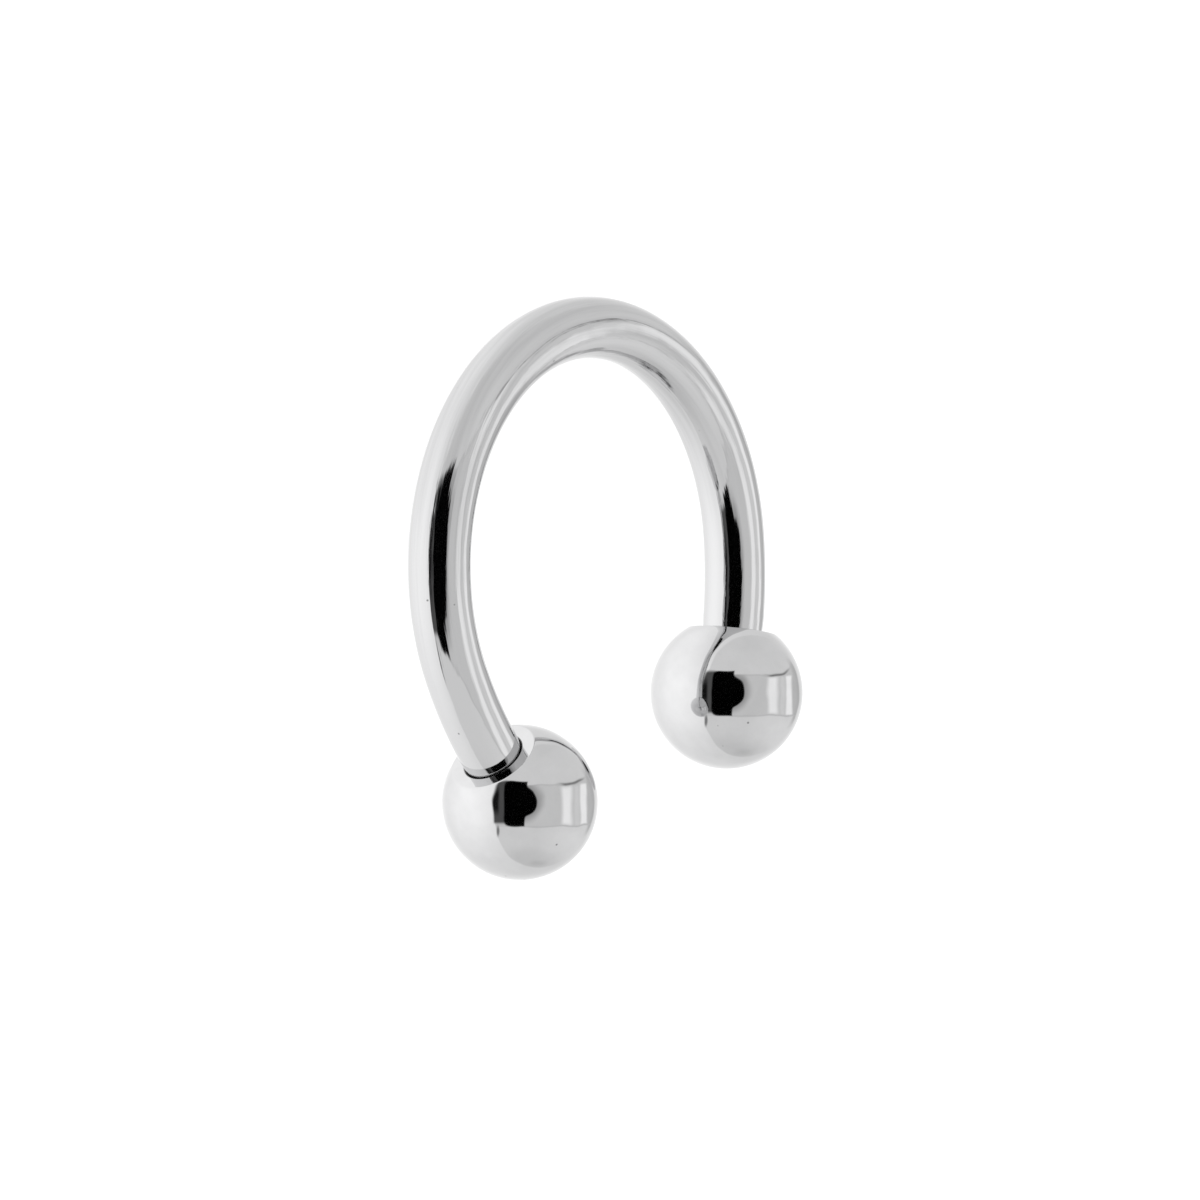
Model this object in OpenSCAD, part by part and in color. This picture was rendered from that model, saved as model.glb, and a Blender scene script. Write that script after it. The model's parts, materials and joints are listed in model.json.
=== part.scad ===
// Horseshoe barbell: a round wire bent to a horseshoe, with a threaded ball on each end.
// It lies on its side, on its two balls and on the closed end of the bend.
// The origin is on the surface under it, below the centre of the bend.
// +Y points to the closed end and +Z up, and all sizes are in millimetres.

/* [Bar] */
// Thickness of the wire, a 16 gauge
wire_d = 1.2; // [1.2:0.05:1.3]
// Clear width inside the bend
inner_d = 7.9; // [7:0.1:12]
// Turn of the round bend on each side of its middle, in degrees
half_bend = 100.5; // [95:0.1:105]
// Radius of the wider curve, along the middle of the wire, in which each end runs on to its ball
ease_r = 7.4; // [6.5:0.1:12]
// Turn of that wider curve, in degrees
ease_turn = 14.9; // [10:0.1:16]

/* [Balls] */
// Width of each ball
ball_d = 3.0; // [2.8:0.1:4]
// Width of the flat where the bar goes in
flat_d = 1.74; // [1.6:0.02:2]

/* [Threaded ends] */
// Width of the threaded end over its crests, drawn plain
pin_d = 1.14; // [1:0.01:1.16]
// Length of the threaded end inside the ball
pin_len = 1.7; // [1:0.1:1.8]
// Width of the chamfered tip of the threaded end
tip_d = 0.9; // [0.5:0.05:0.95]
// Width of the hole in the ball
bore_d = 1.2; // [1.18:0.01:1.24]
// Depth of the hole below the flat
bore_depth = 1.9; // [1.85:0.05:2.2]
// Width of the countersink at the mouth of the hole
mouth_d = 1.25; // [1.24:0.01:1.5]

/* [Hidden] */
$fn = 96;
steel = [0.78, 0.79, 0.80];
wire_r = wire_d / 2;
ball_r = ball_d / 2;
bend_r = inner_d / 2 + wire_r;
// Depth of the mouth's countersink and of the tip's chamfer, both cut at 45 degrees
mouth_depth = (mouth_d - bore_d) / 2;
tip_len = (pin_d - tip_d) / 2;
// Height of the drill's 118 degree point at the bottom of the hole
drill_point = bore_d / 2 / tan(59);
// How far a cutter or a joined piece runs past the face that it meets
past = 0.1;
// Distance from the centre of a ball to its flat
flat_offset = sqrt(pow(ball_r, 2) - pow(flat_d / 2, 2));
// Direction of the wire where it meets a ball, as degrees of turn from the closed end
end_turn = half_bend + ease_turn;
// Distance from the centre of the bend back to the flats, and to the centres of the balls
flat_back = (ease_r - bend_r) * cos(half_bend) - ease_r * cos(end_turn);
ball_back = flat_back + flat_offset * sin(end_turn);
// Lean of the bar's own plane, because the balls lift its open end
lean = asin((ball_r - wire_r) / (bend_r + ball_back));
// Height of the bend's centre while the closed end lies on the surface
bend_z = wire_r + bend_r * sin(lean);

// Lays a shape from the bar's own plane down on the surface
module lie_down() {
    translate([0, 0, bend_z]) rotate([-lean, 0, 0]) children();
}

// A round rod curved about the origin, turned from one angle to another
module curved_rod(radius, rod_r, from, to) {
    rotate([0, 0, from]) rotate_extrude(angle = to - from) translate([radius, 0]) circle(r = rod_r);
}

// Brings a shape to the centre of the wider curve on side 1 (+X) or -1 (-X), where +Y is the bend's end
module at_ease(side) {
    rotate([0, 0, -side * half_bend]) translate([0, bend_r - ease_r, 0]) children();
}

// Puts a shape that points up +Z onto the end of the wire, at the flat of the ball on that side
module at_end(side) {
    at_ease(side)
        rotate([0, 0, -side * ease_turn]) translate([0, ease_r, 0]) rotate([0, side * 90, 0]) children();
}

// The wider curve at one end, with a short core that joins it to the round bend
module eased_end(side) {
    turn = -side * ease_turn;
    at_ease(side) {
        curved_rod(ease_r, wire_r, 90 + min(0, turn), 90 + max(0, turn));
        translate([0, ease_r, 0]) rotate([0, 90, 0]) cylinder(d = pin_d, h = 2 * past, center = true);
    }
}

// The threaded end, whose core runs on a little into the wire
module threaded_end() {
    tip_start = pin_len - tip_len;
    translate([0, 0, -past]) cylinder(d = pin_d, h = past + tip_start);
    translate([0, 0, tip_start]) cylinder(d1 = pin_d, d2 = tip_d, h = tip_len);
}

// A ball with its flat down at z = 0 and its hole going up from there
module ball() {
    difference() {
        translate([0, 0, flat_offset]) sphere(r = ball_r);
        translate([0, 0, -ball_r]) cylinder(r = ball_r, h = ball_r);
        translate([0, 0, -past]) cylinder(d = bore_d, h = bore_depth + past);
        translate([0, 0, bore_depth]) cylinder(d1 = bore_d, d2 = 0, h = drill_point);
        translate([0, 0, -past]) cylinder(d1 = mouth_d + 2 * past, d2 = bore_d, h = mouth_depth + past);
    }
}

module curved_bar() {
    color(steel) lie_down() {
        curved_rod(bend_r, wire_r, 90 - half_bend, 90 + half_bend);
        for (side = [-1, 1]) {
            eased_end(side);
            at_end(side) threaded_end();
        }
    }
}

module ball_on_end(side) {
    color(steel) lie_down() at_end(side) ball();
}

module ball_left() { ball_on_end(-1); }

module ball_right() { ball_on_end(1); }

curved_bar();
ball_left();
ball_right();
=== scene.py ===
# %% [markdown]
# A horseshoe barbell in polished steel.
# The real thing is a round wire, bent to a horseshoe, with a small ball screwed on each end.
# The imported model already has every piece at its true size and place, so it is loaded first, as a
# frame that nothing later moves. Its round faces are coarse, though, and a mirror shows each facet.
# So this script makes the same three pieces again with fine meshes and puts them where the frame says.

# %% Load the frame
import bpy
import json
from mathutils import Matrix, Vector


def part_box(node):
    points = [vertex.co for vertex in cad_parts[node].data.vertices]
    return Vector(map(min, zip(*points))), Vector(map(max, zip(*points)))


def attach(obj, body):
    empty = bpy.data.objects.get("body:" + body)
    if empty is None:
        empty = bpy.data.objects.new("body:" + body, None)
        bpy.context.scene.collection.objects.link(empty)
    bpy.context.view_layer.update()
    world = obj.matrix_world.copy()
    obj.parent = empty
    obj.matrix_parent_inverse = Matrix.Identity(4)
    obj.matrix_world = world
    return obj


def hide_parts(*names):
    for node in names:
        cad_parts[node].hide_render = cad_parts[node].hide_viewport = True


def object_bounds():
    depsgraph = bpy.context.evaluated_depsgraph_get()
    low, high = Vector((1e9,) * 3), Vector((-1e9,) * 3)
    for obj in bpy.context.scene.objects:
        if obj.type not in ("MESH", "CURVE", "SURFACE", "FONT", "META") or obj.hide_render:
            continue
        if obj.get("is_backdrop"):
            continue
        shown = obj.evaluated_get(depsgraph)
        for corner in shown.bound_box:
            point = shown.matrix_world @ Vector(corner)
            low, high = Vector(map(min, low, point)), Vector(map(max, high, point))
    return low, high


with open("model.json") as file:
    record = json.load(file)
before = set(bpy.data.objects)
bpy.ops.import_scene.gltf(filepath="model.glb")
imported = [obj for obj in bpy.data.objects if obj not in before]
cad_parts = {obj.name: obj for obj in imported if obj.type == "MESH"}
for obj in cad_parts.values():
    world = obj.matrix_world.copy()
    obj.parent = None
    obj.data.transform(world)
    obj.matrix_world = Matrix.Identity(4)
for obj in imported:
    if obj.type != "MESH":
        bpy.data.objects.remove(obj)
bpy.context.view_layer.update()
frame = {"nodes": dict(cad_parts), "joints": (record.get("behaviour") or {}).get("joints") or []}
print("frame:", sorted(frame["nodes"]))

# %% [markdown]
# Blender works in metres and jewellery in millimetres, so the sizes are written in millimetres and
# multiplied by MM once. The few driving sizes are those of the real barbell: 16 gauge wire, an inside
# width of about 8 mm and 3 mm balls. Everything else follows from them.

# %% The driving sizes
import json
import math
import bpy
from mathutils import Matrix, Vector

MM = 0.001
WIRE_R = 0.6 * MM
INNER_R = 3.95 * MM
HALF_BEND = math.radians(100.5)
EASE_R = 7.4 * MM
EASE_TURN = math.radians(14.9)
BALL_R = 1.5 * MM
FLAT_R = 0.87 * MM
BORE_R = 0.6 * MM
BORE_DEPTH = 1.9 * MM
MOUTH_R = 0.625 * MM
THREAD_R = 0.57 * MM
THREAD_LENGTH = 1.7 * MM
TIP_R = 0.45 * MM

BEND_R = INNER_R + WIRE_R
END_TURN = HALF_BEND + EASE_TURN
flat_offset = math.sqrt(BALL_R ** 2 - FLAT_R ** 2)
flat_back = (EASE_R - BEND_R) * math.cos(HALF_BEND) - EASE_R * math.cos(END_TURN)
ball_back = flat_back + flat_offset * math.sin(END_TURN)
print("the balls lie", round(ball_back / MM, 3), "mm behind the middle of the bend")

# %% [markdown]
# On a table the barbell rests on its two balls and on the closed end of the wire. The balls are thicker
# than the wire, so they lift the open end and the whole bend leans. The wire is bent round a mandrel
# for most of its length, and runs on to each ball in a wider curve, as the last bit of a wire always
# does when it is bent. One matrix carries a shape to any place along it, with its local Z along the
# wire. Every mesh below is drawn about its own Z axis and then sent through that matrix. The frame's
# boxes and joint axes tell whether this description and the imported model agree.

# %% Where the pieces lie
lean = math.asin((BALL_R - WIRE_R) / (BEND_R + ball_back))
bend_height = WIRE_R + BEND_R * math.sin(lean)
lie_down = Matrix.Translation((0, 0, bend_height)) @ Matrix.Rotation(-lean, 4, "X")


def on_wire(turn):
    """Takes a shape to where the wire has turned by turn from its closed end, +Z along it towards +X."""
    bend_turn = max(-HALF_BEND, min(turn, HALF_BEND))
    swing = Matrix.Rotation(-bend_turn, 4, "Z") @ Matrix.Translation((0, BEND_R, 0))
    if bend_turn != turn:
        swing = swing @ Matrix.Translation((0, -EASE_R, 0)) @ Matrix.Rotation(bend_turn - turn, 4, "Z")
        swing = swing @ Matrix.Translation((0, EASE_R, 0))
    return lie_down @ swing @ Matrix.Rotation(math.pi / 2, 4, "Y")


def at_end(side):
    """The same at an end of the wire, on side 1 (+X) or -1 (-X), with +Z pointing out of the end."""
    outward = Matrix.Rotation(0 if side > 0 else math.pi, 4, "X")
    return on_wire(side * END_TURN) @ outward


SIDES = {"ball_left": -1, "ball_right": 1}
for joint in frame["joints"]:
    node = joint["name"].removesuffix("_unscrew")
    low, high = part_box(node)
    middle = at_end(SIDES[node]) @ Vector((0, 0, flat_offset))
    outward = at_end(SIDES[node]).to_3x3() @ Vector((0, 0, 1))
    print(node, "is off the frame by", round(((low + high) / 2 - middle).length / MM, 3), "mm and",
          round(math.degrees(outward.angle(Vector(joint["axis"]))), 3), "degrees")

# %% [markdown]
# The photograph was taken with a long lens from about 20 centimetres away, looking down at the barbell,
# and the picture stands on its side, so that the bend looks upright. A camera in Blender is placed
# the same way: round the object, up, back, and rolled about the line of sight. The distance and the
# focal length belong together, because their ratio fixes the size in the picture.

# %% The camera
FRAME_PX = 1200
BEND_CENTRE_PX = (589.5, 562.6)
PX_PER_MM = 51.69
CAMERA_AZIMUTH = math.radians(-113.03)
CAMERA_ELEVATION = math.radians(36.55)
CAMERA_ROLL = math.radians(98.44)
CAMERA_DISTANCE = 206.75 * MM
NEAREST_SEEN, FARTHEST_SEEN = CAMERA_DISTANCE / 10, CAMERA_DISTANCE * 50
SENSOR_MM = 36

toward_camera = Vector((math.sin(CAMERA_AZIMUTH) * math.cos(CAMERA_ELEVATION),
                        -math.cos(CAMERA_AZIMUTH) * math.cos(CAMERA_ELEVATION),
                        math.sin(CAMERA_ELEVATION)))
level = Vector((math.cos(CAMERA_AZIMUTH), math.sin(CAMERA_AZIMUTH), 0))
picture_right = Matrix.Rotation(CAMERA_ROLL, 3, toward_camera) @ level
picture_up = toward_camera.cross(picture_right)

camera_data = bpy.data.cameras.new("photo_camera")
camera_data.sensor_width = SENSOR_MM
camera_data.lens = SENSOR_MM * PX_PER_MM * (CAMERA_DISTANCE / MM) / FRAME_PX
camera_data.clip_start = NEAREST_SEEN
camera_data.clip_end = FARTHEST_SEEN
camera = bpy.data.objects.new("photo_camera", camera_data)
right_of_middle, below_middle = ((pixel - FRAME_PX / 2) / PX_PER_MM * MM for pixel in BEND_CENTRE_PX)
aim = Vector((0, 0, bend_height)) - picture_right * right_of_middle + picture_up * below_middle
axes = Matrix((picture_right, picture_up, toward_camera)).transposed().to_4x4()
camera.matrix_world = Matrix.Translation(aim + toward_camera * CAMERA_DISTANCE) @ axes
bpy.context.scene.collection.objects.link(camera)
bpy.context.scene.camera = camera
print("lens:", round(camera_data.lens, 1), "mm, from", round(CAMERA_DISTANCE / MM, 1), "mm")

# %% [markdown]
# The wire and a ball are both a row of rings joined by quads, so one helper skins them: it takes the
# rings in order, and a single point that closes each end. A Screw modifier could turn a plain ball, and
# a curve with a bevel could be the plain wire, but a thread is neither, because its radius changes both
# along and around. With the rings in hand, each piece stays one closed mesh. The sharp edges are marked
# last, so that smooth shading stops at a shoulder or a thread.

# %% Rings and their skin
AROUND = 128
SHARP_EDGE = math.radians(32)


def ring(place, along, radius):
    """Points round the local Z axis of place. radius is a length, or a function of the angle."""
    points = []
    for step in range(AROUND):
        angle = 2 * math.pi * step / AROUND
        reach = radius(angle) if callable(radius) else radius
        points.append(place @ Vector((reach * math.cos(angle), reach * math.sin(angle), along)))
    return points


def skin(name, first_point, rings, last_point):
    """One closed, smooth-shaded piece over the rings."""
    points = [first_point] + [point for each in rings for point in each] + [last_point]
    last_ring = len(rings) - 1
    end = len(points) - 1

    def corner(row, step):
        return 1 + row * AROUND + step % AROUND

    faces = [(0, corner(0, step + 1), corner(0, step)) for step in range(AROUND)]
    for row in range(last_ring):
        for step in range(AROUND):
            faces.append((corner(row, step), corner(row, step + 1),
                          corner(row + 1, step + 1), corner(row + 1, step)))
    faces += [(end, corner(last_ring, step), corner(last_ring, step + 1)) for step in range(AROUND)]
    mesh = bpy.data.meshes.new(name)
    mesh.from_pydata(points, [], faces)
    mesh.shade_smooth()
    mesh.set_sharp_from_angle(angle=SHARP_EDGE)
    piece = bpy.data.objects.new(name, mesh)
    bpy.context.scene.collection.objects.link(piece)
    print(name, "has", len(rings), "rings and", len(faces), "faces")
    return piece


print("each ring has", AROUND, "points")

# %% [markdown]
# A thread is a groove that climbs one pitch for each turn. Its depth at any point depends on one number
# alone: how far along the axis the point is, counted in pitches, less how far round it is, counted
# in turns. The flanks are straight and the crests slightly rounded, as rolling and tapping leave them.
# The arcsine of a sine is a triangle wave, and a sine that falls a little short of 1 rounds its
# corners. A helix could be cut out of the wire instead, but a formula for the depth needs no cutting,
# and lets the groove fade in where the tool ran out of the metal.

# %% The thread
PITCH = 0.25 * MM
RINGS_PER_PITCH = 24
FLANK_SHARPNESS = 0.93


def groove(along, angle):
    """Depth of the thread's groove, from 0 on the crest to 1 at the root."""
    phase = 2 * math.pi * along / PITCH - angle
    return 0.5 - 0.5 * math.asin(FLANK_SHARPNESS * math.cos(phase)) / math.asin(FLANK_SHARPNESS)


def fade(distance, length):
    """Goes smoothly from 0 to 1 over length."""
    share = min(max(distance / length, 0), 1)
    return share * share * (3 - 2 * share)


print("turns of thread:", round(THREAD_LENGTH / PITCH, 1))

# %% [markdown]
# The bar is one piece of wire. Each end is rounded over at its shoulder, where the ball seats, and goes
# on straight as the thread that the ball hides until it is screwed off. The thread starts with a
# run-out and ends in a chamfered tip. Just before the shoulder the polishing wheel has worn the wire a
# little thinner. That is far too little to measure on the outline, but the narrow band bends its
# reflections, so it is modelled. The rings of an end are listed from the shoulder outward.

# %% The ends of the bar
THREAD_DEPTH = 0.14 * MM
RUN_OUT = 0.3 * MM
SHOULDER_ROUND = 0.004 * MM
SHOULDER_STEPS = 4
WORN_LENGTH, WORN_DEPTH = 0.35 * MM, 0.016 * MM


def wire_radius(turn):
    """Radius of the polished wire, which the wheel has worn a little next to each shoulder."""
    from_end = (END_TURN - abs(turn)) * EASE_R
    worn = max(0, 1 - from_end / WORN_LENGTH)
    return WIRE_R - WORN_DEPTH * worn ** 2


def thread_radius(out, side):
    """Radius of the threaded end at a distance out from the shoulder, as a function of the angle."""
    def radius(angle):
        depth = THREAD_DEPTH * fade(out, RUN_OUT) * groove(side * out, angle)
        return min(THREAD_R - depth, TIP_R + THREAD_LENGTH - out)
    return radius


def end_rings(side):
    """(distance out from the shoulder, radius) for each ring of one end."""
    shoulder_r = wire_radius(END_TURN)
    rings = []
    for step in range(SHOULDER_STEPS + 1):
        angle = math.pi / 2 * step / SHOULDER_STEPS
        out = SHOULDER_ROUND * (math.sin(angle) - 1)
        rings.append((out, shoulder_r - SHOULDER_ROUND * (1 - math.cos(angle))))
    count = round(THREAD_LENGTH / PITCH * RINGS_PER_PITCH)
    for step in range(count + 1):
        out = THREAD_LENGTH * step / count
        rings.append((out, thread_radius(out, side)))
    return rings


print("rings on each end:", len(end_rings(1)))

# %% [markdown]
# The rings of the whole bar run from the left tip to the right tip: one end turned round, the bend, and
# the other end. A right-hand thread is right-handed from whichever end it is seen, so both ends use the
# same list, counted along the bar in opposite directions.

# %% The bar
TURN_STEPS = 400

left_end, right_end = on_wire(-END_TURN), on_wire(END_TURN)
left_tip = left_end @ Vector((0, 0, -THREAD_LENGTH))
right_tip = right_end @ Vector((0, 0, THREAD_LENGTH))
last_turn = END_TURN - 2 * SHOULDER_ROUND / EASE_R
bar_rings = [ring(left_end, -out, radius) for out, radius in reversed(end_rings(-1))]
first_plain = len(bar_rings) - SHOULDER_STEPS - 1
turns = [last_turn * (2 * step / TURN_STEPS - 1) for step in range(TURN_STEPS + 1)]
bar_rings += [ring(on_wire(turn), 0, wire_radius(turn)) for turn in turns]
last_plain = len(bar_rings) + SHOULDER_STEPS
bar_rings += [ring(right_end, out, radius) for out, radius in end_rings(1)]
bar = skin("polished_bar", left_tip, bar_rings, right_tip)

# %% [markdown]
# Each ball is turned from bar stock: a sphere, a flat where the wire goes in, and a blind hole with a
# small countersink, a tapped thread and the cone of a 118 degree drill at its bottom. Its profile is
# walked from the drill's point down the hole, across the flat and up over the sphere to its top.
# A sphere could be cut with Boolean modifiers, but they leave uneven faces, which a mirror would show.
# The edge of the flat is rounded by a few hundredths of a millimetre: on real metal that edge is
# never sharp, and it is what catches the light as a thin bright rim.

# %% The profile of a ball
RIM_ROUND = 0.06 * MM
RIM_STEPS = 6
MOUTH_EDGE = 0.004 * MM
TAP_DEPTH = 0.07 * MM
SPHERE_STEPS = 110
DRILL_HALF_ANGLE = math.radians(59)


def tapped_radius(along):
    """Radius of the tapped hole at a depth below the flat, as a function of the angle."""
    def radius(angle):
        cut = fade(along - (MOUTH_R - BORE_R), PITCH) * fade(BORE_DEPTH - along, PITCH)
        return BORE_R + TAP_DEPTH * cut * groove(along, angle)
    return radius


def hole_rings():
    """(depth below the flat, radius) for each ring of the hole, from half-way down the drill's cone."""
    count = round(BORE_DEPTH / PITCH * RINGS_PER_PITCH)
    mouth_depth = MOUTH_R - BORE_R
    rings = [(BORE_DEPTH + BORE_R / 2 / math.tan(DRILL_HALF_ANGLE), BORE_R / 2)]
    for step in range(count + 1):
        along = BORE_DEPTH + (mouth_depth - BORE_DEPTH) * step / count
        rings.append((along, tapped_radius(along)))
    return rings


def outside_rings():
    """(distance from the flat, radius) for each ring of the flat, its rounded edge and the sphere."""
    rings = [(MOUTH_EDGE, MOUTH_R - MOUTH_EDGE), (0, MOUTH_R + MOUTH_EDGE), (0, MOUTH_R + 2 * MOUTH_EDGE)]
    rim_middle = math.sqrt((BALL_R - RIM_ROUND) ** 2 - (flat_offset - RIM_ROUND) ** 2)
    rim_turn = math.atan2(rim_middle, flat_offset - RIM_ROUND)
    rings.append((0, rim_middle - MOUTH_EDGE))
    for step in range(RIM_STEPS + 1):
        angle = rim_turn * step / RIM_STEPS
        rings.append((RIM_ROUND * (1 - math.cos(angle)), rim_middle + RIM_ROUND * math.sin(angle)))
    for step in range(1, SPHERE_STEPS):
        angle = rim_turn + (math.pi - rim_turn) * step / SPHERE_STEPS
        rings.append((flat_offset - BALL_R * math.cos(angle), BALL_R * math.sin(angle)))
    return rings


print("rings in the hole:", len(hole_rings()), "and outside it:", len(outside_rings()))

# %% [markdown]
# Both balls are the same profile, sent to the two ends of the wire. The rings of the hole are kept under
# a name of their own, because they tell later which faces are cut metal and which are polished.

# %% The balls
in_hole = hole_rings()
ball_rings = in_hole + outside_rings()
balls = {}
for node, side in SIDES.items():
    place = at_end(side)
    drill_point = place @ Vector((0, 0, BORE_DEPTH + BORE_R / math.tan(DRILL_HALF_ANGLE)))
    top = place @ Vector((0, 0, flat_offset + BALL_R))
    balls[node] = skin("polished_" + node, drill_point, [ring(place, *row) for row in ball_rings], top)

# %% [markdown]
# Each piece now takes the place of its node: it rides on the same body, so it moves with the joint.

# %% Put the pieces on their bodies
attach(bar, "bar")
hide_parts("curved_bar")
for joint in frame["joints"]:
    node = joint["name"].removesuffix("_unscrew")
    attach(balls[node], joint["child"])
    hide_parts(node)
    print(node, "rides on", joint["child"])

# %% [markdown]
# A finish in Blender is a graph of nodes, and sums drawn as nodes are hard to read. So a small class
# wraps the output of a node and lets Python's own signs stand for Math nodes: 1 - mask adds one
# Subtract node. The reflected forms of the signs serve sums that start with a plain number.

# %% Sums on the output of a node
class Signal:
    """The output of a node, for use in sums and as the input of other nodes."""

    def __init__(self, bench, socket):
        self.bench = bench
        self.socket = socket

    def math(self, operation, *others):
        return self.bench.math(operation, self, *others)

    def __add__(self, other):
        return self.math("ADD", other)

    def __radd__(self, other):
        return self.bench.math("ADD", other, self)

    def __sub__(self, other):
        return self.math("SUBTRACT", other)

    def __rsub__(self, other):
        return self.bench.math("SUBTRACT", other, self)

    def __mul__(self, other):
        return self.math("MULTIPLY", other)

    def __rmul__(self, other):
        return self.bench.math("MULTIPLY", other, self)


print("a signal takes +, - and *, from either side")

# %% [markdown]
# Every node is made by one method of the bench, which takes the node's type, its settings, and what
# goes into its sockets by name or by number. The bench's other methods are short ways to the nodes
# that are used most. A trial on an empty material shows what a sum turns into.

# %% The bench
class Bench:
    """The node tree of one material or world."""

    def __init__(self, owner):
        owner.use_nodes = True
        self.tree = owner.node_tree
        self.tree.nodes.clear()

    def node(self, kind, settings=None, inputs=None, output=0):
        """Makes a node. Its settings come first, because some of them change its sockets."""
        made = self.tree.nodes.new(kind)
        for name, value in (settings or {}).items():
            setattr(made, name, value)
        for name, value in (inputs or {}).items():
            if isinstance(value, Signal):
                self.tree.links.new(value.socket, made.inputs[name])
            else:
                made.inputs[name].default_value = value
        return Signal(self, made.outputs[output] if made.outputs else None)

    def math(self, operation, *values):
        return self.node("ShaderNodeMath", {"operation": operation}, dict(enumerate(values)))

    def vector(self, operation, *values):
        return self.node("ShaderNodeVectorMath", {"operation": operation}, dict(enumerate(values)))

    def number(self, operation, *vectors):
        """An operation on vectors that gives a number, such as LENGTH."""
        inputs = dict(enumerate(vectors))
        return self.node("ShaderNodeVectorMath", {"operation": operation}, inputs, "Value")

    def split(self, vector):
        """The three parts of a vector."""
        parts = self.node("ShaderNodeSeparateXYZ", inputs={0: vector}).socket.node.outputs
        return [Signal(self, part) for part in parts]

    def noise(self, place, per_mm, detail):
        inputs = {"Vector": place, "Scale": per_mm, "Detail": detail}
        return self.node("ShaderNodeTexNoise", inputs=inputs)

    def step(self, value, edge, softness):
        """0 below edge and 1 above it, with a soft passage."""
        inputs = {"Value": value, "From Min": edge - softness, "From Max": edge + softness}
        return self.node("ShaderNodeMapRange", {"interpolation_type": "SMOOTHSTEP"}, inputs)

    def below(self, value, edge, softness):
        """1 below edge and 0 above it."""
        return 1 - self.step(value, edge, softness)

    def mix(self, share, under, over):
        """A colour between two, by share. Inputs 6 and 7 and output 2 are the node's colour sockets."""
        return self.node("ShaderNodeMix", {"data_type": "RGBA"}, {0: share, 6: under, 7: over}, 2)


trial = Bench(bpy.data.materials.new("trial"))
trial_sum = 1 - trial.node("ShaderNodeValue") * 2
print("1 - value * 2 is", len(trial.tree.nodes), "nodes, the last a", trial_sum.socket.node.operation)
bpy.data.materials.remove(bpy.data.materials["trial"])

# %% [markdown]
# Polished surgical steel is a grey mirror: metallic, a good deal darker than silver, and nearly smooth.
# What keeps it from looking computed is what the polishing leaves. The skin is faintly wavy, over about
# half a millimetre, and bends the reflections; here and there it is dull with haze; and a few pits,
# some hundredths of a millimetre across, show as specks, darkened in colour as painted shade. The waves
# and pits are bump, because they are far too shallow to model, and every noise is sized in millimetres.

# %% Polished steel
BLUE_TINT = 1.008
WAVE_MM, WAVE_DETAIL = 0.6, 1.0
HAZE_EDGE, HAZE_SOFT = 0.5, 0.25
ROUGH_IN_HAZE, SMOOTHED_BY_POLISH = 1.3, 0.6
BRIGHT_IN_PAINTED_PIT_SHADE = 0.40
PIT_SPACING_MM, PIT_R_MM, PIT_DEPTH_MM = 0.7, 0.022, 0.002


def millimetres(bench):
    """The place on the piece, in millimetres."""
    place = bench.node("ShaderNodeTexCoord", output="Object")
    return bench.vector("MULTIPLY", place, (1 / MM, 1 / MM, 1 / MM))


def steel_colour(brightness):
    return (brightness, brightness, brightness * BLUE_TINT, 1)


def polished(name, marks, brightness, hazed, roughness, wave_height_mm):
    """Polished steel. marks tells for a place how clear the polish is there, and its relief in mm."""
    material = bpy.data.materials.new(name)
    bench = Bench(material)
    place = millimetres(bench)
    polish, relief = marks(bench, place)
    waves = bench.noise(place, 1 / WAVE_MM, WAVE_DETAIL)
    cells = {"Vector": place, "Scale": 1 / PIT_SPACING_MM}
    to_pit = bench.node("ShaderNodeTexVoronoi", {"feature": "F1"}, cells) * PIT_SPACING_MM
    pit_and_shade = bench.below(to_pit, PIT_R_MM, PIT_R_MM / 2)
    height = waves * wave_height_mm - pit_and_shade * PIT_DEPTH_MM + relief
    clear = bench.step(polish, HAZE_EDGE, HAZE_SOFT)
    skin_colour = bench.mix(clear, steel_colour(hazed), steel_colour(brightness))
    shader = bench.node("ShaderNodeBsdfPrincipled", inputs={
        # The pits are darkened in colour: painted shade in each small hollow.
        "Base Color": bench.mix(pit_and_shade, skin_colour, steel_colour(brightness * BRIGHT_IN_PAINTED_PIT_SHADE)),
        "Metallic": 1.0,
        "Roughness": roughness * (ROUGH_IN_HAZE - SMOOTHED_BY_POLISH * polish),
        "Normal": bench.node("ShaderNodeBump", inputs={"Distance": MM, "Height": height})})
    bench.node("ShaderNodeOutputMaterial", inputs={"Surface": shader})
    print(name, "uses", len(bench.tree.nodes), "nodes")
    return material


print("waves are", WAVE_MM, "mm long and pits", 2 * PIT_R_MM, "mm wide")

# %% [markdown]
# Small balls are polished by tumbling, many at a time. That leaves no direction in the finish: the haze
# lies in clouds, and there are no lines.

# %% The balls' finish
HAZES_PER_MM, HAZE_DETAIL = 3.0, 4.0


def tumbled(bench, place):
    """Marks of a tumbled piece: haze in clouds, and no relief."""
    return bench.noise(place, HAZES_PER_MM, HAZE_DETAIL), 0.0


ball_steel = polished("polished_ball", tumbled, brightness=0.64, hazed=0.61, roughness=0.05,
                      wave_height_mm=0.012)
for ball in balls.values():
    ball.data.materials.append(ball_steel)

# %% [markdown]
# The wire was drawn through a die before it was bent, and polishing never takes away all that the die
# leaves: fine lines, and streaks of haze. They run along the wire, so their noise is stretched: it is
# sampled by the place in the wire's own cross-section and, much more slowly, by the turn round the
# bend. Both come from the object's coordinates, turned back to the bend's flat drawing. The marks are
# strongest round the closed end, which makes it darker: that darker haze is partly painted shade.

# %% The drawn wire
STREAKS_PER_MM, STREAK_DETAIL = 5.0, 4.0
LINES_PER_MM, LINE_DETAIL, LINE_HEIGHT_MM = 16.0, 3.0, 0.0048
NOISE_MM_PER_RADIAN = 0.2
STRENGTH_ON_LEGS = 0.4


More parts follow.
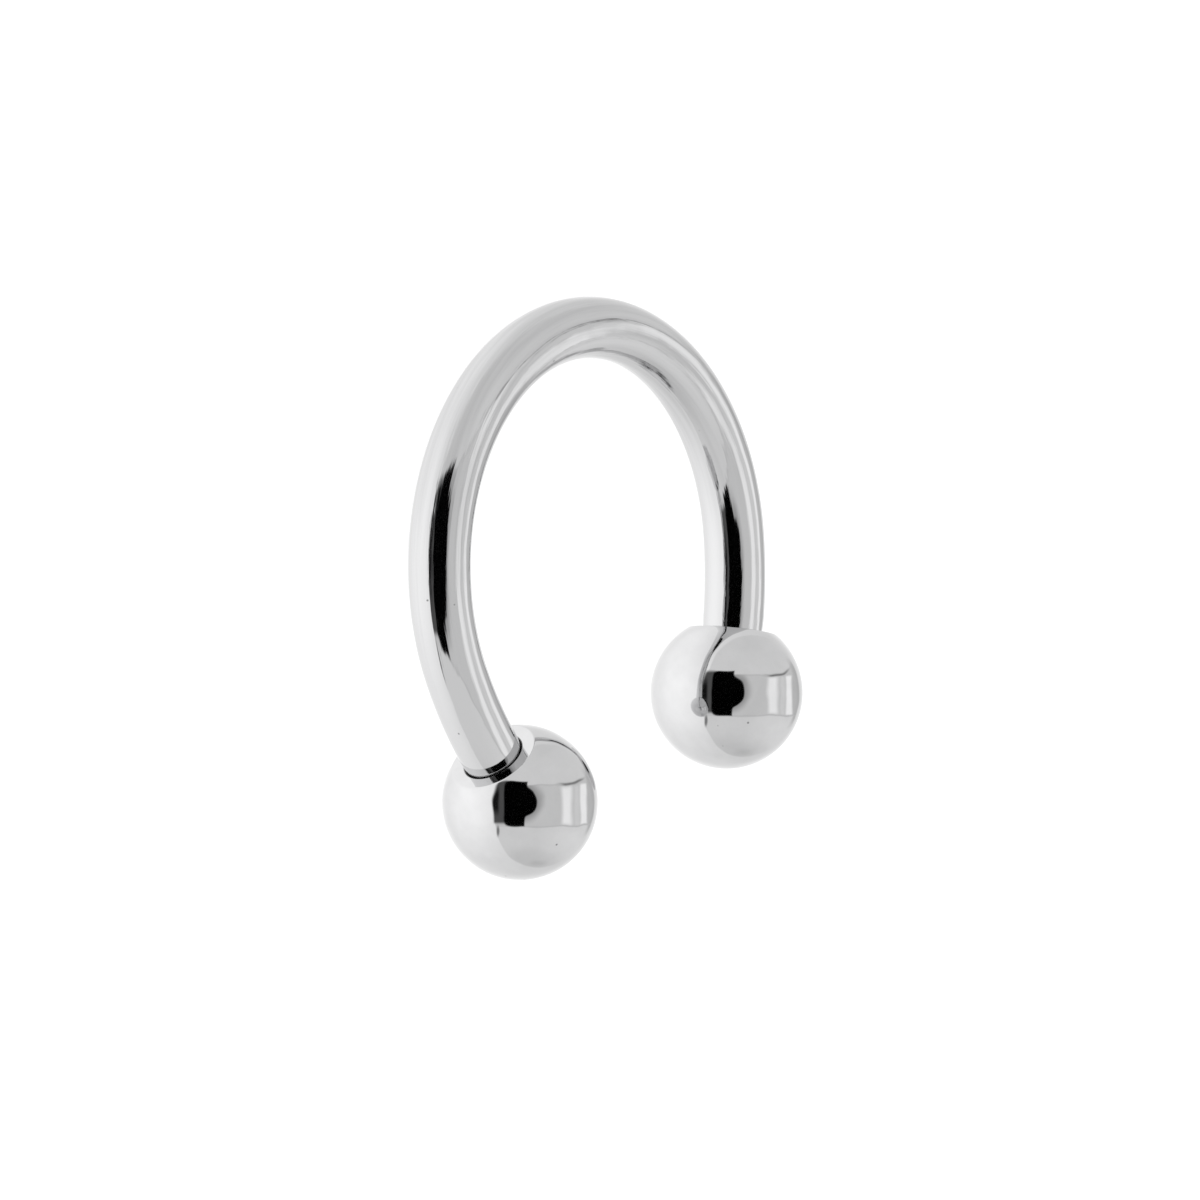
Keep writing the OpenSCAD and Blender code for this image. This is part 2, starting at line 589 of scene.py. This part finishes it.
def drawn(bench, place):
    """Marks of a drawn wire: haze in streaks and fine lines, and painted shade in the haze round the
    closed end.
    """
    lying = {"Vector": place, "Location": (0, 0, bend_height / MM), "Rotation": (-lean, 0, 0)}
    flat = bench.node("ShaderNodeMapping", {"vector_type": "TEXTURE"}, lying)
    sideways, forward, above = bench.split(flat)
    outward = bench.number("LENGTH", bench.vector("MULTIPLY", flat, (1, 1, 0))) - BEND_R / MM
    turn = sideways.math("ARCTAN2", forward)
    along = turn * NOISE_MM_PER_RADIAN
    stretched = bench.node("ShaderNodeCombineXYZ", inputs={0: outward, 1: above, 2: along})
    # Round the closed end the marks are stronger and the wire darker, partly as painted shade.
    closed_end_haze_and_shade = bench.step(turn.math("COSINE"), edge=0.1, softness=0.6)
    strength = STRENGTH_ON_LEGS + (1 - STRENGTH_ON_LEGS) * closed_end_haze_and_shade
    polish = 1 - strength * (1 - bench.noise(stretched, STREAKS_PER_MM, STREAK_DETAIL))
    return polish, strength * LINE_HEIGHT_MM * bench.noise(stretched, LINES_PER_MM, LINE_DETAIL)


wire_steel = polished("polished_wire", drawn, brightness=0.62, hazed=0.52, roughness=0.07,
                      wave_height_mm=0.006)
bar.data.materials.append(wire_steel)

# %% [markdown]
# The threads and the holes are as the tools left them: cut metal, duller than the polished skin. They
# are a second material on the same mesh, given to the faces whose ring lies on the thread or in a hole.
# The faces were made ring after ring, so a face's number tells its ring.

# %% Cut metal
CUT_STEEL = (0.48, 0.48, 0.48, 1)
CUT_ROUGHNESS = 0.28
GRAIN_PER_MM, GRAIN_DETAIL = 14.0, 3.0
SMOOTHEST_GRAIN, ROUGHER_BY_GRAIN = 0.6, 0.8


def cut_metal(name):
    """Dull metal with a fine grain, as a die or a tap leaves it."""
    material = bpy.data.materials.new(name)
    bench = Bench(material)
    grain = bench.noise(millimetres(bench), GRAIN_PER_MM, GRAIN_DETAIL)
    shader = bench.node("ShaderNodeBsdfPrincipled", inputs={
        "Base Color": CUT_STEEL,
        "Metallic": 1.0,
        "Roughness": CUT_ROUGHNESS * (SMOOTHEST_GRAIN + ROUGHER_BY_GRAIN * grain)})
    bench.node("ShaderNodeOutputMaterial", inputs={"Surface": shader})
    return material


def leave_as_cut(piece, is_cut):
    """Gives the second material to the faces between cut rings."""
    piece.data.materials.append(cut_steel)
    for face in piece.data.polygons:
        row = face.index // AROUND - 1
        face.material_index = int(is_cut(row))


cut_steel = cut_metal("cut_steel")
leave_as_cut(bar, lambda row: not first_plain <= row < last_plain)
for ball in balls.values():
    leave_as_cut(ball, lambda row: row < len(in_hole))
for piece in [bar, *balls.values()]:
    print("cut faces on", piece.name + ":", sum(face.material_index for face in piece.data.polygons))

# %% [markdown]
# The floor is a plain white board. It glows a little as well as taking the light, as a lit table does:
# that keeps it pale up to the barbell and leaves only a soft shade where the two touch. The polished
# steel doesn't see this board: what a mirror shows of a floor is part of the studio painted below.

# %% The floor
FLOOR_HALF_WIDTH = 0.6
FLOOR_WHITE = (0.93, 0.93, 0.93, 1)
FLOOR_ROUGHNESS = 0.8
FLOOR_GLOW = 0.56

floor_mesh = bpy.data.meshes.new("floor")
half = FLOOR_HALF_WIDTH
floor_corners = [(-half, -half, 0), (half, -half, 0), (half, half, 0), (-half, half, 0)]
floor_mesh.from_pydata(floor_corners, [], [(0, 1, 2, 3)])
floor = bpy.data.objects.new("floor", floor_mesh)
floor.visible_glossy = False
bpy.context.scene.collection.objects.link(floor)
floor_material = bpy.data.materials.new("white_board")
board = Bench(floor_material)
board_shader = board.node("ShaderNodeBsdfPrincipled", inputs={
    "Base Color": FLOOR_WHITE,
    "Roughness": FLOOR_ROUGHNESS,
    "Specular IOR Level": 0.0,
    "Emission Color": (1, 1, 1, 1),
    "Emission Strength": FLOOR_GLOW})
board.node("ShaderNodeOutputMaterial", inputs={"Surface": board_shader})
floor_mesh.materials.append(floor_material)
floor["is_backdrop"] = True
print("floor:", 2 * half, "m wide")

# %% [markdown]
# A polished thing looks like what stands round it, so the studio matters more than the steel. The
# real one was a white tent: pale walls, two bright strips overhead, and in front an opening for the
# camera, which every ball shows as a black blob. The tent is far away for so small a thing, so it is
# painted on the World by direction. Each direction is first turned into the spot on a mirror ball
# that would show it to the photograph's camera: halfway between the direction and the camera.
# On that ball, x runs right and y up from -1 to 1, and the tent can be laid out as it looks there.

# %% The directions of the studio
world = bpy.data.worlds.new("studio")
bpy.context.scene.world = world
studio = Bench(world)
direction = studio.node("ShaderNodeTexCoord", output="Generated")
spot = studio.vector("NORMALIZE", studio.vector("ADD", direction, toward_camera))
x = studio.number("DOT_PRODUCT", spot, picture_right)
y = studio.number("DOT_PRODUCT", spot, picture_up)
ball_map = studio.node("ShaderNodeCombineXYZ", inputs={0: x, 1: y})
above_horizon = studio.split(direction)[2]
print("the mirror ball faces", [round(part, 2) for part in toward_camera])

# %% [markdown]
# Everything in the studio is painted over what is there already, through a mask that is 1 on the thing
# and 0 off it. A card is a rectangle with soft edges. A smudge is a soft oval, for the places where the
# cloth of a tent is a little darker or brighter. All of it is grey, so a brightness is one number, and
# the values WALL, ROOF, SEAM and the like in the next cells are such brightnesses.

# %% How the studio is painted
from collections import namedtuple

Card = namedtuple("Card", "left right bottom top soft brightness")
Smudge = namedtuple("Smudge", "x y wide tall change")


def between(value, low, high, soft):
    """A mask of what lies between low and high."""
    return studio.step(value, low, soft) * studio.below(value, high, soft)


def inside(card):
    """The mask of a card."""
    return between(x, card.left, card.right, card.soft) * between(y, card.bottom, card.top, card.soft)


def ovals_away(middle_x, middle_y, wide, tall):
    """Distance from a point of the mirror ball, counted in half widths of an oval about it."""
    scale = (1 / wide, 1 / tall, 0)
    to_middle = (-middle_x / wide, -middle_y / tall, 0)
    return studio.number("LENGTH", studio.vector("MULTIPLY_ADD", ball_map, scale, to_middle))


def paint(under, brightness, mask):
    """What is under the paint where mask is 0, and the new brightness where it is 1."""
    return under + (brightness - under) * mask


print("nodes before any paint:", len(studio.tree.nodes))

# %% [markdown]
# The walls come first. Round the mirror ball's middle runs the roof of the tent, a band between two
# seams that holds the two strips of light, and its far corner is rounded. Above and below the band
# are the side walls.

# %% The walls
WALL, ROOF, FAR_END = 0.72, 0.64, 0.56
ROOF_BOTTOM, ROOF_TOP = -0.30, 0.235
CORNER_X, CORNER_R, CORNER_STRETCH = 0.65, 0.16, 0.81
SMUDGES = [
    Smudge(x=0.65, y=-0.50, wide=0.50, tall=0.40, change=0.08),
    Smudge(x=0.10, y=-0.75, wide=0.60, tall=0.25, change=-0.10),
    Smudge(x=0.22, y=-0.78, wide=0.18, tall=0.07, change=-0.08),
    Smudge(x=0.30, y=0.70, wide=0.50, tall=0.25, change=-0.04),
]
STRIPS = {
    "wide strip": Card(left=0.54, right=0.665, bottom=-0.285, top=0.21, soft=0.035, brightness=0.97),
    "shade between": Card(left=0.70, right=0.76, bottom=-0.285, top=0.21, soft=0.020, brightness=0.72),
    "narrow strip": Card(left=0.775, right=0.85, bottom=-0.285, top=0.22, soft=0.018, brightness=1.00),
}

walls = WALL
for smudge in SMUDGES:
    from_smudge = ovals_away(smudge.x, smudge.y, smudge.wide, smudge.tall)
    walls = walls + studio.below(from_smudge, edge=0.5, softness=0.5) * smudge.change
past_corner = studio.vector("SUBTRACT", ball_map, (CORNER_X, ROOF_TOP + CORNER_R, 0))
right_and_down = studio.vector("MULTIPLY", past_corner, (CORNER_STRETCH, -1, 0))
from_seam = studio.number("LENGTH", studio.vector("MAXIMUM", right_and_down, (0, 0, 0))) - CORNER_R
roof = studio.step(from_seam, edge=0, softness=0.010) * studio.step(y, ROOF_BOTTOM, softness=0.008)
band = paint(ROOF, FAR_END, studio.step(x, edge=0.86, softness=0.02))
for strip in STRIPS.values():
    band = paint(band, strip.brightness, inside(strip))
tent = paint(walls, band, roof)
print("painted in the roof:", ", ".join(STRIPS))

# %% [markdown]
# A seam is a thin dark line. The upper one is thick where the cloth is folded, and curls up round the
# corner. At its far end the tent darkens towards the floor.

# %% The seams
FOLD, SEAM, FOOT = 0.20, 0.57, 0.50


def line(value, middle, half_width):
    """The mask of a soft line, where value is about middle."""
    return between(value, middle - half_width, middle + half_width, half_width)


foot = between(y, low=-0.40, high=0.38, soft=0.10) * studio.step(x, edge=0.70, softness=0.15)
tent = paint(tent, FOOT, foot * studio.below(above_horizon, edge=0.16, softness=0.10))
fold = line(from_seam, middle=-0.001, half_width=0.014) * studio.step(x, edge=0.52, softness=0.08)
tent = paint(tent, FOLD, fold * studio.below(y, edge=0.29, softness=0.04))
upper_seam = line(from_seam, middle=0.004, half_width=0.008) * between(x, low=0.20, high=0.55, soft=0.03)
tent = paint(tent, SEAM, upper_seam)
lower_seam = line(y, ROOF_BOTTOM, half_width=0.008) * between(x, low=0.05, high=0.90, soft=0.03)
tent = paint(tent, SEAM, lower_seam)
print("the roof's band is", round(ROOF_TOP - ROOF_BOTTOM, 2), "of a ball's radius wide")

# %% [markdown]
# Below the horizon lies the floor, brightest under the camera, with a smaller glow at the far end and
# another at one side. Each glow fades with the angle from its middle, which the dot product of the two
# directions gives.

# %% The floor of the studio
FLOOR_BASE = 0.67
HORIZON, HORIZON_SOFT = -0.01, 0.02
Glow = namedtuple("Glow", "azimuth elevation brightness sharpness")
GLOWS = [
    Glow(azimuth=165, elevation=-48, brightness=0.46, sharpness=1.4),
    Glow(azimuth=-26, elevation=-34, brightness=0.14, sharpness=9.0),
    Glow(azimuth=67, elevation=-44, brightness=0.14, sharpness=8.0),
]


def toward(azimuth, elevation):
    """The direction at an azimuth from +X towards +Y and an elevation, both in degrees."""
    turn, rise = math.radians(azimuth), math.radians(elevation)
    return Vector((math.cos(turn) * math.cos(rise), math.sin(turn) * math.cos(rise), math.sin(rise)))


ground = FLOOR_BASE
for glow in GLOWS:
    away = 1 - studio.number("DOT_PRODUCT", direction, toward(glow.azimuth, glow.elevation))
    ground = ground + (away * -glow.sharpness).math("EXPONENT") * glow.brightness
tent = paint(tent, ground, studio.below(above_horizon, HORIZON, HORIZON_SOFT))
print("glows on the floor:", len(GLOWS))

# %% [markdown]
# The opening for the camera is black: a rectangle whose right side leans, joined softly with the round
# of the lens, which has a soft dark halo. A post stands between it and a narrow slit at the edge of the
# tent, and below the post lies its small dark foot. Rectangle and circle are given by the distance
# outside them, because the smooth minimum of two such distances is the distance outside both, with the
# corner between them filled. A smooth maximum rounds the two corners on the left in the same way.

# %% The opening
HALO, HALO_R, HALO_SOFT = 0.36, 0.265, 0.065
OPENING_LEFT, OPENING_RIGHT, RIGHT_LEAN = -0.200, 0.079, 0.070
OPENING_Y, HALF_TALL = -0.007, 0.293
LENS_X, LENS_Y, LENS_R = 0.02, 0.02, 0.204
CORNER_SOFT, LEFT_SOFT = 0.06, 0.15
POST = Card(left=-0.345, right=-0.150, bottom=-0.255, top=0.28, soft=0.025, brightness=0.080)
SLIT = Card(left=-0.345, right=-0.262, bottom=-0.255, top=0.28, soft=0.020, brightness=0.008)
POST_FOOT = 0.22

from_lens = ovals_away(LENS_X, LENS_Y, 1, 1)
tent = paint(tent, HALO, studio.below(from_lens, HALO_R, HALO_SOFT) * roof)
above_floor = studio.step(above_horizon, edge=-0.065, softness=0.06)
tent = paint(tent, POST.brightness, inside(POST) * above_floor)
slit_height = between(y, low=-0.12, high=0.18, soft=0.09)
tent = paint(tent, SLIT.brightness, inside(SLIT) * slit_height * above_floor)
along = (y - OPENING_Y).math("ABSOLUTE") - HALF_TALL
left_side = (OPENING_LEFT - x).math("SMOOTH_MAX", along, LEFT_SOFT)
right_side = x - y * RIGHT_LEAN - OPENING_RIGHT
from_opening = left_side.math("MAXIMUM", right_side).math("SMOOTH_MIN", from_lens - LENS_R, CORNER_SOFT)
tent = paint(tent, 0.0, studio.below(from_opening, edge=0, softness=0.010))
from_foot = ovals_away(middle_x=-0.275, middle_y=-0.36, wide=0.022, tall=0.070)
tent = paint(tent, POST_FOOT, studio.below(from_foot, edge=1.0, softness=0.6))
print("the lens takes", round(100 * LENS_R ** 2, 1), "% of a ball's disc")

# %% [markdown]
# Only the steel shows the painted studio. The floor is lit by a plain light of about the same strength,
# and the camera sees a plain pale backdrop where it looks past the floor. The steel reflects only about
# two thirds of the light, so the painted studio as a whole is made a quarter brighter than the values
# above say.

# %% The backdrop
PLAIN_LIGHT = 0.66
STUDIO_LIGHT = 1.25
BACKDROP = 1.05

sees_camera = studio.node("ShaderNodeLightPath", output="Is Camera Ray")
sees_mirror = studio.node("ShaderNodeLightPath", output="Is Glossy Ray")
plain = studio.node("ShaderNodeBackground", inputs={"Color": paint(PLAIN_LIGHT, BACKDROP, sees_camera)})
painted = studio.node("ShaderNodeBackground", inputs={"Color": tent, "Strength": STUDIO_LIGHT})
light = studio.node("ShaderNodeMixShader", inputs={0: sees_mirror, 1: plain, 2: painted})
studio.node("ShaderNodeOutputWorld", inputs={"Surface": light})
bpy.context.scene.view_settings.view_transform = "Standard"
print("nodes in the studio:", len(studio.tree.nodes))

# %% [markdown]
# Last, the size of the box round the rebuilt pieces is printed.

# %% The size of the model
low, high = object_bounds()
print("visual box:", [round(side / MM, 3) for side in high - low], "mm")
